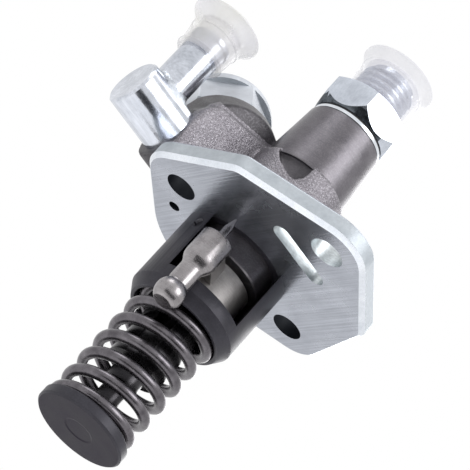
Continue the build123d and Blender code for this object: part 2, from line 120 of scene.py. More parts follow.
world = bpy.data.worlds.new("studioWorld")
world.use_nodes = True
scene.world = world
roomLight = world.node_tree.nodes["Background"]
roomLight.inputs["Color"].default_value = (1, 1, 1, 1)
roomLight.inputs["Strength"].default_value = studio["worldLight"]
whiteRoom = world.node_tree.nodes.new("ShaderNodeBackground")
whiteRoom.inputs["Color"].default_value = (1, 1, 1, 1)
whiteRoom.inputs["Strength"].default_value = 1
roomMix = whiteToLens(world.node_tree, roomLight.outputs[0], "World Output")
world.node_tree.links.new(whiteRoom.outputs[0], roomMix.inputs[2])

bpy.ops.mesh.primitive_plane_add(size=studio["floorSize"], location=(0, 0, studio["floorZ"]))
floor = bpy.context.object
floor.name = "floor"
floorPaint = bpy.data.materials.new("floorPaint")
floorPaint.use_nodes = True
floorTree = floorPaint.node_tree
floorShader = floorTree.nodes["Principled BSDF"]
floorShader.inputs["Base Color"].default_value = studio["floorColour"]
floorShader.inputs["Roughness"].default_value = studio["dullness"]
# extra white for the camera, mirror and glass rays only, so that the shadow stays and no light is added
floorGlow = floorTree.nodes.new("ShaderNodeEmission")
floorGlow.inputs["Color"].default_value = (1, 1, 1, 1)
floorGlow.inputs["Strength"].default_value = studio["floorGlow"]
floorSum = floorTree.nodes.new("ShaderNodeAddShader")
floorMix = whiteToLens(floorTree, floorShader.outputs[0], "Material Output")
floorTree.links.new(floorShader.outputs[0], floorSum.inputs[0])
floorTree.links.new(floorGlow.outputs[0], floorSum.inputs[1])
floorTree.links.new(floorSum.outputs[0], floorMix.inputs[2])
floor.data.materials.append(floorPaint)

# the dark side of the room behind the camera, seen by mirror rays only
darkSide = {"place": (-0.108, -0.612, -0.419), "width": 1.70, "height": 0.38,
            "colour": (0.03, 0.03, 0.035, 1)}
faceOn = Vector(darkSide["place"]).to_track_quat("Z", "Y").to_euler()
bpy.ops.mesh.primitive_plane_add(size=1, location=darkSide["place"], rotation=faceOn)
darkCard = bpy.context.object
darkCard.name = "darkCard"
darkCard.scale = (darkSide["width"], darkSide["height"], 1)
darkPaint = bpy.data.materials.new("darkPaint")
darkPaint.use_nodes = True
darkShader = darkPaint.node_tree.nodes["Principled BSDF"]
darkShader.inputs["Base Color"].default_value = darkSide["colour"]
darkShader.inputs["Roughness"].default_value = studio["dullness"]
darkCard.data.materials.append(darkPaint)
darkCard.visible_camera = darkCard.visible_diffuse = darkCard.visible_transmission = False
darkCard.visible_shadow = False

print("camera and studio ready")


# shared shader groups
def newGroup(name, inputs, outputs):
    group = bpy.data.node_groups.new(name, "ShaderNodeTree")
    for label, kind, value in inputs:
        socket = group.interface.new_socket(label, in_out="INPUT", socket_type=kind)
        if value is not None:
            socket.default_value = value
    for label, kind in outputs:
        group.interface.new_socket(label, in_out="OUTPUT", socket_type=kind)
    start = group.nodes.new("NodeGroupInput")
    end = group.nodes.new("NodeGroupOutput")
    return group, start, end


def addNode(tree, kind, **settings):
    node = tree.nodes.new(kind)
    for key, value in settings.items():
        setattr(node, key, value)
    return node


# fine lines along one axis: noise stretched by Stretch
def buildStreaks():
    group, start, end = newGroup(
        "metalStreaks",
        [("Place", "NodeSocketVector", None), ("Stretch", "NodeSocketVector", (1000, 100, 1000)),
         ("Detail", "NodeSocketFloat", 3.0)],
        [("Height", "NodeSocketFloat")])
    scale = addNode(group, "ShaderNodeVectorMath", operation="MULTIPLY")
    group.links.new(start.outputs["Place"], scale.inputs[0])
    group.links.new(start.outputs["Stretch"], scale.inputs[1])
    noise = addNode(group, "ShaderNodeTexNoise")
    noise.inputs["Scale"].default_value = 1.0
    noise.inputs["Roughness"].default_value = 0.6
    group.links.new(scale.outputs[0], noise.inputs["Vector"])
    group.links.new(start.outputs["Detail"], noise.inputs["Detail"])
    group.links.new(noise.outputs["Fac"], end.inputs["Height"])
    return group


# cast or plated grain: small cells over soft lumps
def buildGrain():
    group, start, end = newGroup(
        "surfaceGrain",
        [("Place", "NodeSocketVector", None), ("Size", "NodeSocketFloat", 0.5)],
        [("Height", "NodeSocketFloat"), ("Spark", "NodeSocketFloat")])
    perMetre = addNode(group, "ShaderNodeMath", operation="DIVIDE")
    perMetre.inputs[0].default_value = 1000
    group.links.new(start.outputs["Size"], perMetre.inputs[1])
    lumps = addNode(group, "ShaderNodeTexNoise")
    lumps.inputs["Detail"].default_value = 3
    lumps.inputs["Roughness"].default_value = 0.62
    cells = addNode(group, "ShaderNodeTexVoronoi", feature="F1")
    for node in (lumps, cells):
        group.links.new(start.outputs["Place"], node.inputs["Vector"])
        group.links.new(perMetre.outputs[0], node.inputs["Scale"])
    add = addNode(group, "ShaderNodeMath", operation="MULTIPLY_ADD")
    add.inputs[1].default_value = 0.6
    group.links.new(cells.outputs["Distance"], add.inputs[0])
    group.links.new(lumps.outputs["Fac"], add.inputs[2])
    group.links.new(add.outputs[0], end.inputs["Height"])
    spark = addNode(group, "ShaderNodeMapRange")
    spark.inputs["From Min"].default_value = 0.49
    spark.inputs["From Max"].default_value = 0.62
    group.links.new(lumps.outputs["Fac"], spark.inputs["Value"])
    group.links.new(spark.outputs["Result"], end.inputs["Spark"])
    return group


# slow patches of tone, in millimetres across
def buildMottle():
    group, start, end = newGroup(
        "softMottle",
        [("Place", "NodeSocketVector", None), ("Size", "NodeSocketFloat", 4.0),
         ("Low", "NodeSocketFloat", 0.0), ("High", "NodeSocketFloat", 1.0)],
        [("Tone", "NodeSocketFloat")])
    perMetre = addNode(group, "ShaderNodeMath", operation="DIVIDE")
    perMetre.inputs[0].default_value = 1000
    group.links.new(start.outputs["Size"], perMetre.inputs[1])
    noise = addNode(group, "ShaderNodeTexNoise")
    noise.inputs["Detail"].default_value = 4
    group.links.new(start.outputs["Place"], noise.inputs["Vector"])
    group.links.new(perMetre.outputs[0], noise.inputs["Scale"])
    spread = addNode(group, "ShaderNodeMapRange")
    spread.inputs["From Min"].default_value = 0.3
    spread.inputs["From Max"].default_value = 0.7
    group.links.new(noise.outputs["Fac"], spread.inputs["Value"])
    group.links.new(start.outputs["Low"], spread.inputs["To Min"])
    group.links.new(start.outputs["High"], spread.inputs["To Max"])
    group.links.new(spread.outputs["Result"], end.inputs["Tone"])
    return group


# 1 on rubbed outer edges and 0 on faces, from the mesh's own curvature
def buildEdgeMask():
    group, start, end = newGroup(
        "edgeRub", [("From", "NodeSocketFloat", 0.53), ("To", "NodeSocketFloat", 0.62)],
        [("Mask", "NodeSocketFloat")])
    shape = addNode(group, "ShaderNodeNewGeometry")
    spread = addNode(group, "ShaderNodeMapRange")
    group.links.new(shape.outputs["Pointiness"], spread.inputs["Value"])
    group.links.new(start.outputs["From"], spread.inputs["From Min"])
    group.links.new(start.outputs["To"], spread.inputs["From Max"])
    group.links.new(spread.outputs["Result"], end.inputs["Mask"])
    return group


streakGroup = buildStreaks()
grainGroup = buildGrain()
mottleGroup = buildMottle()
edgeGroup = buildEdgeMask()


def useGroup(tree, group, **values):
    node = addNode(tree, "ShaderNodeGroup", node_tree=group)
    for label, value in values.items():
        node.inputs[label].default_value = value
    return node


# depth of the fine lines, in metres
streakDepth = 0.00003


# one metal material from a finish dictionary: tones, streaks, grain, rubbed edges
def metalFinish(name, look):
    paint = bpy.data.materials.new(name)
    paint.use_nodes = True
    tree = paint.node_tree
    shader = tree.nodes["Principled BSDF"]
    shader.inputs["Metallic"].default_value = look["metallic"]
    shader.inputs["Specular IOR Level"].default_value = look.get("specular", 0.5)
    place = addNode(tree, "ShaderNodeTexCoord")
    mapping = addNode(tree, "ShaderNodeMapping")
    turn = look.get("turn", (0, 0, 0))
    mapping.inputs["Rotation"].default_value = [math.radians(angle) for angle in turn]
    tree.links.new(place.outputs["Object"], mapping.inputs["Vector"])

    mottle = useGroup(tree, mottleGroup, Size=look["mottleSize"])
    streaks = useGroup(tree, streakGroup, Stretch=look["stretch"])
    grain = useGroup(tree, grainGroup, Size=look["grainSize"])
    edge = useGroup(tree, edgeGroup)
    for node in (mottle, streaks, grain):
        tree.links.new(mapping.outputs["Vector"], node.inputs["Place"])

    base = addNode(tree, "ShaderNodeMix", data_type="RGBA")
    base.inputs["A"].default_value = (*look["dark"], 1)
    base.inputs["B"].default_value = (*look["light"], 1)
    tree.links.new(mottle.outputs["Tone"], base.inputs["Factor"])
    lined = addNode(tree, "ShaderNodeMix", data_type="RGBA", blend_type="MULTIPLY")
    lineTone = addNode(tree, "ShaderNodeMapRange")
    lineTone.inputs["From Min"].default_value = 0.3
    lineTone.inputs["From Max"].default_value = 0.7
    lineTone.inputs["To Min"].default_value = 1 - look["streakTone"]
    lineTone.inputs["To Max"].default_value = 1
    tree.links.new(streaks.outputs["Height"], lineTone.inputs["Value"])
    lined.inputs["Factor"].default_value = 1
    tree.links.new(base.outputs["Result"], lined.inputs["A"])
    tree.links.new(lineTone.outputs["Result"], lined.inputs["B"])
    rubbed = addNode(tree, "ShaderNodeMix", data_type="RGBA")
    rubbed.inputs["B"].default_value = (*look["edge"], 1)
    rub = addNode(tree, "ShaderNodeMath", operation="MULTIPLY")
    rub.inputs[1].default_value = look["edgeShare"]
    tree.links.new(edge.outputs["Mask"], rub.inputs[0])
    tree.links.new(rub.outputs[0], rubbed.inputs["Factor"])
    tree.links.new(lined.outputs["Result"], rubbed.inputs["A"])
    sparkled = addNode(tree, "ShaderNodeMix", data_type="RGBA")
    sparkled.inputs["B"].default_value = (*look["spark"], 1)
    spark = addNode(tree, "ShaderNodeMath", operation="MULTIPLY")
    spark.inputs[1].default_value = look["sparkShare"]
    tree.links.new(grain.outputs["Spark"], spark.inputs[0])
    patch = addNode(tree, "ShaderNodeMath", operation="MULTIPLY_ADD")
    patch.inputs[1].default_value = look.get("patchy", 0.0)
    patch.inputs[2].default_value = 1 - look.get("patchy", 0.0)
    tree.links.new(mottle.outputs["Tone"], patch.inputs[0])
    patched = addNode(tree, "ShaderNodeMath", operation="MULTIPLY")
    tree.links.new(spark.outputs[0], patched.inputs[0])
    tree.links.new(patch.outputs[0], patched.inputs[1])
    tree.links.new(patched.outputs[0], sparkled.inputs["Factor"])
    tree.links.new(rubbed.outputs["Result"], sparkled.inputs["A"])
    tree.links.new(sparkled.outputs["Result"], shader.inputs["Base Color"])

    rough = addNode(tree, "ShaderNodeMapRange")
    rough.inputs["To Min"].default_value = look["rough"][0]
    rough.inputs["To Max"].default_value = look["rough"][1]
    tree.links.new(mottle.outputs["Tone"], rough.inputs["Value"])
    tree.links.new(rough.outputs["Result"], shader.inputs["Roughness"])

    lines = addNode(tree, "ShaderNodeBump")
    lines.inputs["Strength"].default_value = look["streakBump"]
    lines.inputs["Distance"].default_value = streakDepth
    tree.links.new(streaks.outputs["Height"], lines.inputs["Height"])
    bumps = addNode(tree, "ShaderNodeBump")
    bumps.inputs["Strength"].default_value = look["grainBump"]
    bumps.inputs["Distance"].default_value = look.get("grainDepth", 0.05) * mm
    tree.links.new(grain.outputs["Height"], bumps.inputs["Height"])
    tree.links.new(lines.outputs["Normal"], bumps.inputs["Normal"])
    tree.links.new(bumps.outputs["Normal"], shader.inputs["Normal"])
    return paint


zincTone = {"metallic": 1, "dark": (0.46, 0.49, 0.55), "light": (0.64, 0.68, 0.75),
            "edge": (0.86, 0.89, 0.94), "edgeShare": 0.4, "spark": (0.90, 0.93, 0.98), "sparkShare": 0.0,
            "mottleSize": 5.0, "grainSize": 0.5, "rough": (0.18, 0.30), "streakBump": 0.2,
            "streakTone": 0.1, "grainBump": 0.15, "stretch": (1500, 1500, 1500)}
finishes = {
    "flangeZinc": {**zincTone, "dark": (0.38, 0.40, 0.455), "light": (0.49, 0.515, 0.575),
                   "edgeShare": 0.0, "stretch": (3000, 32, 400), "streakBump": 0.7, "streakTone": 0.30,
                   "rough": (0.22, 0.30), "metallic": 0.88, "mottleSize": 9.0, "turn": (0, 0, 3)},
    "rimZinc": {**zincTone, "metallic": 0.45, "dark": (0.44, 0.48, 0.52), "light": (0.55, 0.59, 0.63),
                "edgeShare": 0.0, "rough": (0.42, 0.56), "grainBump": 0.5, "grainSize": 0.7,
                "mottleSize": 3.0},
    # painted highlight: a light zinc for the flange's downward chamfers
    "chamferHighlightZinc": {**zincTone, "dark": (0.70, 0.74, 0.80), "light": (0.84, 0.87, 0.92), "edgeShare": 0.0},
    # painted shade: near-black walls in the stud holes and the dowel hole, where shade falls
    "holeShadeZinc": {**zincTone, "metallic": 0.1, "specular": 0.12, "dark": (0.008, 0.010, 0.014),
                 "light": (0.018, 0.021, 0.027), "edgeShare": 0.0, "rough": (0.45, 0.60)},
    # painted light: a lighter zinc on hole and slot walls that the lamps light
    "litBoreZinc": {**zincTone, "dark": (0.50, 0.54, 0.56), "light": (0.70, 0.74, 0.76), "edgeShare": 0.0,
                 "rough": (0.30, 0.44), "mottleSize": 2.5, "streakTone": 0.3,
                 "stretch": (1500, 1500, 4000)},
    "elbowZinc": {**zincTone, "dark": (0.52, 0.55, 0.61), "light": (0.75, 0.78, 0.85), "edgeShare": 0.25,
                  "stretch": (160, 1800, 1800), "streakBump": 0.25, "streakTone": 0.22,
                  "rough": (0.13, 0.24), "grainBump": 0.14, "grainSize": 0.5},
    "brazeZinc": {**zincTone, "dark": (0.30, 0.33, 0.37), "light": (0.66, 0.69, 0.74), "edgeShare": 0.0,
                  "mottleSize": 0.9, "grainSize": 0.5, "grainBump": 0.8, "grainDepth": 0.06,
                  "rough": (0.26, 0.40)},
    "holderZinc": {**zincTone, "edgeShare": 0.3, "stretch": (2500, 2500, 600), "rough": (0.16, 0.28),
                   "grainBump": 0.3},
    # painted shade: a dark zinc on the cone under the hexagon, left off its lit side
    "shadedConeZinc": {**zincTone, "dark": (0.050, 0.058, 0.070), "light": (0.16, 0.18, 0.20), "edgeShare": 0.0,
                 "mottleSize": 3.0, "stretch": (400, 400, 3000), "streakTone": 0.3},
    "plugZinc": {**zincTone, "metallic": 0.6, "dark": (0.42, 0.44, 0.48), "light": (0.58, 0.61, 0.66),
                 "turn": (45, 0, 0), "stretch": (900, 900, 2500), "rough": (0.34, 0.48),
                 "edgeShare": 0.5},
    "castIron": {"metallic": 0.75, "dark": (0.150, 0.140, 0.157), "light": (0.238, 0.224, 0.246),
                 "edge": (0.34, 0.33, 0.35), "edgeShare": 0.35, "spark": (0.46, 0.445, 0.48),
                 "sparkShare": 0.75, "mottleSize": 6.0, "grainSize": 0.31, "rough": (0.30, 0.44),
                 "streakBump": 0.0, "streakTone": 0.08, "stretch": (700, 700, 700), "grainBump": 1.0,
                 "grainDepth": 0.13, "patchy": 0.5},
    # painted shade: a darkened cast iron for the boss behind the rib, over real turning streaks
    "shadedBossIron": {"metallic": 0.5, "dark": (0.040, 0.037, 0.043), "light": (0.078, 0.073, 0.082),
                 "edge": (0.3, 0.29, 0.31), "edgeShare": 0.2, "spark": (0.4, 0.39, 0.42),
                 "sparkShare": 0.12, "mottleSize": 4.0, "grainSize": 0.4, "rough": (0.34, 0.48),
                 "streakBump": 0.5, "streakTone": 0.35, "turn": (45, 0, 0), "stretch": (260, 260, 1500),
                 "grainBump": 0.6},
    # painted shade: darkened cast iron for the pocket and the low corner by the flange
    "paintedShadeIron": {"metallic": 0.5, "dark": (0.055, 0.051, 0.059), "light": (0.105, 0.098, 0.110),
                   "edge": (0.2, 0.2, 0.21), "edgeShare": 0.0, "spark": (0.2, 0.2, 0.2),
                   "sparkShare": 0.1, "mottleSize": 2.5, "grainSize": 0.5, "rough": (0.45, 0.6),
                   "streakBump": 0.0, "streakTone": 0.2, "stretch": (700, 700, 700), "grainBump": 0.6},
    "turnedIron": {"metallic": 0.8, "dark": (0.132, 0.124, 0.138), "light": (0.168, 0.159, 0.174),
                   "edge": (0.36, 0.35, 0.37), "edgeShare": 0.4, "spark": (0.5, 0.48, 0.52),
                   "sparkShare": 0.10, "mottleSize": 3.0, "grainSize": 0.24, "rough": (0.29, 0.37),
                   "streakBump": 0.45, "streakTone": 0.2, "stretch": (500, 500, 4200), "grainBump": 0.4},
    "blackSteel": {"metallic": 0.35, "specular": 0.30, "dark": (0.030, 0.029, 0.037),
                   "light": (0.052, 0.050, 0.063), "edge": (0.26, 0.26, 0.30), "edgeShare": 0.0,
                   "spark": (0.2, 0.2, 0.22), "sparkShare": 0.04, "mottleSize": 6.0, "grainSize": 0.3,
                   "rough": (0.36, 0.48), "streakBump": 0.12, "streakTone": 0.15,
                   "stretch": (500, 500, 4000), "grainBump": 0.10},
    "rubbedSteel": {"metallic": 0.6, "dark": (0.20, 0.20, 0.225), "light": (0.44, 0.44, 0.48),
                    "edge": (0.3, 0.3, 0.3), "edgeShare": 0.0, "spark": (0.3, 0.3, 0.32),
                    "sparkShare": 0.3, "mottleSize": 2.0, "grainSize": 0.4, "rough": (0.30, 0.45),
                    "streakBump": 0.1, "streakTone": 0.3, "stretch": (900, 900, 900), "grainBump": 0.2},
    "tappetSteel": {"metallic": 0.1, "specular": 0.08, "dark": (0.012, 0.009, 0.018),
                    "light": (0.019, 0.015, 0.027), "edge": (0.22, 0.21, 0.25), "edgeShare": 0.4,
                    "spark": (0.2, 0.2, 0.22), "sparkShare": 0.03, "mottleSize": 5.0, "grainSize": 0.3,
                    "rough": (0.34, 0.44), "streakBump": 0.1, "streakTone": 0.1,
                    "stretch": (500, 500, 500), "grainBump": 0.15},
    "springSteel": {"metallic": 0.9, "dark": (0.092, 0.085, 0.095), "light": (0.180, 0.169, 0.184),
                    "edge": (0.2, 0.19, 0.2), "edgeShare": 0.0, "spark": (0.3, 0.29, 0.31),
                    "sparkShare": 0.05, "mottleSize": 2.0, "grainSize": 0.25, "rough": (0.22, 0.32),
                    "streakBump": 0.1, "streakTone": 0.12, "stretch": (1200, 1200, 1200),
                    "grainBump": 0.10},
    "groundSteel": {"metallic": 1, "dark": (0.28, 0.264, 0.272), "light": (0.41, 0.39, 0.40),
                    "edge": (0.6, 0.58, 0.58), "edgeShare": 0.0, "spark": (0.6, 0.58, 0.58),
                    "sparkShare": 0.05, "mottleSize": 1.8, "grainSize": 0.3, "rough": (0.22, 0.34),
                    "streakBump": 0.5, "streakTone": 0.25, "stretch": (300, 300, 6500),
                    "grainBump": 0.12},
    "turnedSteel": {"metallic": 0.8, "dark": (0.29, 0.275, 0.272), "light": (0.40, 0.38, 0.375),
                    "edge": (0.6, 0.58, 0.57), "edgeShare": 0.4, "spark": (0.6, 0.58, 0.56),
                    "sparkShare": 0.1, "mottleSize": 2.0, "grainSize": 0.3, "rough": (0.32, 0.44),
                    "streakBump": 0.35, "streakTone": 0.2, "stretch": (500, 500, 5000),
                    "grainBump": 0.25},
    "oiledSteel": {"metallic": 0.8, "dark": (0.018, 0.017, 0.020), "light": (0.040, 0.038, 0.043),
                   "edge": (0.3, 0.29, 0.3), "edgeShare": 0.2, "spark": (0.3, 0.3, 0.3),
                   "sparkShare": 0.03, "mottleSize": 3.0, "grainSize": 0.3, "rough": (0.20, 0.30),
                   "streakBump": 0.2, "streakTone": 0.2, "stretch": (300, 300, 5000), "grainBump": 0.08},
    "washerMetal": {**zincTone, "dark": (0.46, 0.49, 0.53), "light": (0.70, 0.73, 0.77),
                    "rough": (0.16, 0.26)},
    "blackRubber": {"metallic": 0, "dark": (0.014, 0.014, 0.014), "light": (0.024, 0.024, 0.024),
                    "edge": (0.04, 0.04, 0.04), "edgeShare": 0.2, "spark": (0.05, 0.05, 0.05),
                    "sparkShare": 0.1, "mottleSize": 1.5, "grainSize": 0.2, "rough": (0.5, 0.65),
                    "streakBump": 0.0, "streakTone": 0.05, "stretch": (900, 900, 900), "grainBump": 0.2},
}
paints = {name: metalFinish(name, look) for name, look in finishes.items()}

# clear plastic: what both caps share, then the tint and cover of each
clearBase = {"ior": 1.48, "cloudTint": (0.84, 0.83, 0.90), "cloudSize": 6.0, "softSize": 9.0,
             "rough": (0.12, 0.26)}
clearLooks = {
    "outletClear": {"tint": (0.74, 0.75, 0.82), "alpha": (0.20, 0.30)},
    "inletClear": {"tint": (0.80, 0.79, 0.74), "alpha": (0.28, 0.38)},
}


# milky thin moulding: pale body colour, part see-through, faint cloudiness
def clearFinish(name, tint, alpha):
    paint = bpy.data.materials.new(name)
    paint.use_nodes = True
    tree = paint.node_tree
    shader = tree.nodes["Principled BSDF"]
    shader.inputs["Metallic"].default_value = 0
    shader.inputs["IOR"].default_value = clearBase["ior"]
    place = addNode(tree, "ShaderNodeTexCoord")
    cloud = useGroup(tree, mottleGroup, Size=clearBase["cloudSize"], Low=alpha[0], High=alpha[1])
    tree.links.new(place.outputs["Object"], cloud.inputs["Place"])
    tree.links.new(cloud.outputs["Tone"], shader.inputs["Alpha"])
    colour = addNode(tree, "ShaderNodeMix", data_type="RGBA")
    colour.inputs["A"].default_value = (*tint, 1)
    colour.inputs["B"].default_value = (*clearBase["cloudTint"], 1)
    soft = useGroup(tree, mottleGroup, Size=clearBase["softSize"])
    tree.links.new(place.outputs["Object"], soft.inputs["Place"])
    tree.links.new(soft.outputs["Tone"], colour.inputs["Factor"])
    tree.links.new(colour.outputs["Result"], shader.inputs["Base Color"])
    rough = addNode(tree, "ShaderNodeMapRange")
    rough.inputs["To Min"].default_value = clearBase["rough"][0]
    rough.inputs["To Max"].default_value = clearBase["rough"][1]
    tree.links.new(soft.outputs["Tone"], rough.inputs["Value"])
    tree.links.new(rough.outputs["Result"], shader.inputs["Roughness"])
    return paint


for name, look in clearLooks.items():
    paints[name] = clearFinish(name, look["tint"], look["alpha"])
print("materials ready:", len(paints))


# modelling helpers
# points closer than these gaps, in metres, are merged
mergeGap = {"copy": 0.000002, "lathe": 0.000001, "cap": 0.000005}
# faces that turn by less than this, in degrees, are joined
flatAngle = 0.4


def pickOnly(piece):
    bpy.ops.object.select_all(action="DESELECT")
    piece.select_set(True)
    bpy.context.view_layer.objects.active = piece


def applyAll(piece):
    pickOnly(piece)
    for modifier in list(piece.modifiers):
        bpy.ops.object.modifier_apply(modifier=modifier.name)


# merge close points, close open ends and turn the faces outward
def sealMesh(piece, gap=0, fill=True):
    pickOnly(piece)
    bpy.ops.object.mode_set(mode="EDIT")
    bpy.ops.mesh.select_all(action="SELECT")
    if gap:
        bpy.ops.mesh.remove_doubles(threshold=gap)
    if fill:
        bpy.ops.mesh.fill_holes(sides=0)
    bpy.ops.mesh.normals_make_consistent(inside=False)
    bpy.ops.object.mode_set(mode="OBJECT")


# give a finished piece its material and its body, and hide the nodes it replaces
def dress(piece, paint, body, replaced=()):
    piece.data.materials.clear()
    piece.data.materials.append(paints[paint])
    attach(piece, body)
    if replaced:
        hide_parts(*replaced)
    return piece


# a second material on the faces that the test picks by their centre and direction, in mm
def paintFaces(piece, paint, test):
    piece.data.materials.append(paints[paint])
    place = len(piece.data.materials) - 1
    for face in piece.data.polygons:
        if test(face.center / mm, face.normal):
            face.material_index = place


# small round on every edge sharper than the limit, with smooth shading between
def roundEdges(piece, width, segments=2, limit=32, smooth=32, weigh=True):
    pickOnly(piece)
    if width:
        bevel = piece.modifiers.new("edges", "BEVEL")
        bevel.width = width * mm
        bevel.segments = segments
        bevel.limit_method = "ANGLE"
        bevel.angle_limit = math.radians(limit)
        bevel.harden_normals = False
        bevel.use_clamp_overlap = True
    applyAll(piece)
    bpy.ops.object.shade_smooth_by_angle(angle=math.radians(smooth))
    if weigh:
        weighted = piece.modifiers.new("weighted", "WEIGHTED_NORMAL")
        weighted.keep_sharp = True
        applyAll(piece)
    return piece


# a merged copy of a CAD node's mesh, with flat areas joined into single faces
def nodeCopy(node, name):
    piece = bpy.data.objects.new(name, nodes[node].data.copy())
    scene.collection.objects.link(piece)
    pickOnly(piece)
    if piece.data.has_custom_normals:
        bpy.ops.mesh.customdata_custom_splitnormals_clear()
    bpy.ops.object.mode_set(mode="EDIT")
    bpy.ops.mesh.select_all(action="SELECT")
    bpy.ops.mesh.remove_doubles(threshold=mergeGap["copy"])
    bpy.ops.mesh.dissolve_limited(angle_limit=math.radians(flatAngle))
    bpy.ops.object.mode_set(mode="OBJECT")
    return piece


# a lathe shape: a circle extruded and resized from ring to ring (radius, height in mm)
def turnPiece(name, rings, centre=(0, 0), segments=96, hollow=False):
    radius, height = rings[0]
    middle = (centre[0] * mm, centre[1] * mm)
    bpy.ops.object.select_all(action="DESELECT")
    fillType = "NOTHING" if hollow else "NGON"
    bpy.ops.mesh.primitive_circle_add(vertices=segments, radius=radius * mm, fill_type=fillType,
                                      location=(*middle, height * mm))
    piece = bpy.context.object
    piece.name = name
    bpy.ops.object.transform_apply(location=True, rotation=True, scale=True)
    bpy.ops.object.mode_set(mode="EDIT")
    bpy.ops.mesh.select_all(action="SELECT")
    for nextRadius, nextHeight in rings[1:]:
        rise = (nextHeight - height) * mm
        bpy.ops.mesh.extrude_region_move(TRANSFORM_OT_translate={"value": (0, 0, rise)})
        share = nextRadius / radius
        bpy.ops.transform.resize(value=(share, share, 1), center_override=(*middle, nextHeight * mm))
        radius, height = nextRadius, nextHeight
    bpy.ops.mesh.select_all(action="SELECT")
    bpy.ops.mesh.remove_doubles(threshold=mergeGap["lathe"])
    bpy.ops.mesh.normals_make_consistent(inside=False)
    bpy.ops.object.mode_set(mode="OBJECT")
    return piece


# ring positions along a round in the profile
def arc(middleR, middleZ, radius, start, stop, steps):
    places = []
    for step in range(steps + 1):
        angle = math.radians(start + (stop - start) * step / steps)
        places.append((middleR + radius * math.cos(angle), middleZ + radius * math.sin(angle)))
    return places


# flange plate
flange = {"edge": 0.20, "rimFacing": 0.3, "wallFacing": 0.5, "flatFacing": 0.95,
          # x, y and reach of each hole, in mm
          "shadedHoles": [(-18.25, 0, 3.6), (18.25, 0, 3.6), (-13.75, 7.1, 1.5)],
          "litHoles": [(0, -30.5, 4.0), (-5.15, -21.1, 3.0), (0.3, -21.1, 3.0), (5.75, -21.1, 3.0)]}
flangePlate = roundEdges(nodeCopy("flange_plate", "flangePlate"), flange["edge"], segments=3)
dress(flangePlate, "flangeZinc", "housing", ["flange_plate"])


# walls of the listed holes
def inHole(place, facing, holes):
    if abs(facing.z) > flange["wallFacing"]:
        return False
    return any(math.hypot(place.x - x, place.y - y) < reach for x, y, reach in holes)


paintFaces(flangePlate, "rimZinc", lambda place, facing: abs(facing.z) < flange["rimFacing"])
# painted highlight along the flange's downward chamfers
paintFaces(flangePlate, "chamferHighlightZinc",
           lambda place, facing: -flange["flatFacing"] < facing.z < -flange["rimFacing"])
# painted shade on the walls of the stud holes and the dowel hole
paintFaces(flangePlate, "holeShadeZinc", lambda place, facing: inHole(place, facing, flange["shadedHoles"]))
# painted light on the walls of the lower hole and the slot
paintFaces(flangePlate, "litBoreZinc", lambda place, facing: inHole(place, facing, flange["litHoles"]))
print("flange ready")

# cast body
casting = {"voxel": 0.34, "smoothShare": 0.5, "smoothSteps": 4, "cutZ": 4.0, "triangles": 150000,
           "shadeTop": 5.4, "shadeX": -17}
pocket = {"azimuths": (-163, -115), "heights": (16.0, 21.1), "reach": 10.15}
boss = {"columnZ": 21.3, "columnR": 12.6, "columnX": -6, "ribY": 5.6, "behindY": 8.2}
# plane along the rib's crest, where the painted shade of the boss begins: direction, and distance in mm
crest = Vector((0.2057, 0.42, -0.8839))
crestAt = -21.1
castBody = nodeCopy("pump_body", "castBody")
bpy.ops.object.mode_set(mode="EDIT")
bpy.ops.mesh.select_all(action="SELECT")
bpy.ops.mesh.bisect(plane_co=(0, 0, casting["cutZ"] * mm), plane_no=(0, 0, 1), clear_inner=True,
                    use_fill=True)
bpy.ops.object.mode_set(mode="OBJECT")
remesh = castBody.modifiers.new("skin", "REMESH")
remesh.mode = "VOXEL"
remesh.voxel_size = casting["voxel"] * mm
soften = castBody.modifiers.new("soften", "SMOOTH")
soften.factor = casting["smoothShare"]
soften.iterations = casting["smoothSteps"]
applyAll(castBody)
triangleCount = len(castBody.data.polygons) * 2
thin = castBody.modifiers.new("thin", "DECIMATE")
thin.ratio = min(1.0, casting["triangles"] / triangleCount)
applyAll(castBody)
bpy.ops.object.mode_set(mode="EDIT")
bpy.ops.mesh.select_all(action="SELECT")
bpy.ops.mesh.bisect(plane_co=crest * crestAt * mm, plane_no=crest)
bpy.ops.object.mode_set(mode="OBJECT")
bpy.ops.object.shade_smooth()
dress(castBody, "castIron", "housing", ["pump_body"])


# the cast pocket at the column's foot, which gets painted shade
def inPocket(place, facing):
    azimuth = math.degrees(math.atan2(place.y, place.x))
    inSweep = pocket["azimuths"][0] < azimuth < pocket["azimuths"][1]
    inHeight = pocket["heights"][0] < place.z < pocket["heights"][1]
    return inSweep and inHeight and math.hypot(place.x, place.y) < pocket["reach"]


# painted shade: the boss behind the rib's crest is darkened, without the column's foot
def onBoss(place, facing):
    nearColumn = math.hypot(place.x, place.y) < boss["columnR"] and place.x > boss["columnX"]
    if place.z < boss["columnZ"] and nearColumn:
        return False
    behindRib = crest.dot(place) < crestAt and place.y > boss["ribY"]
    return place.y > boss["behindY"] or behindRib


paintFaces(castBody, "shadedBossIron", onBoss)
# painted shade in the pocket at the column's foot and low on the casting's left by the flange
paintFaces(castBody, "paintedShadeIron", inPocket)
paintFaces(castBody, "paintedShadeIron",
           lambda place, facing: place.z < casting["shadeTop"] and place.x < casting["shadeX"])
print("casting ready:", len(castBody.data.polygons), "faces")

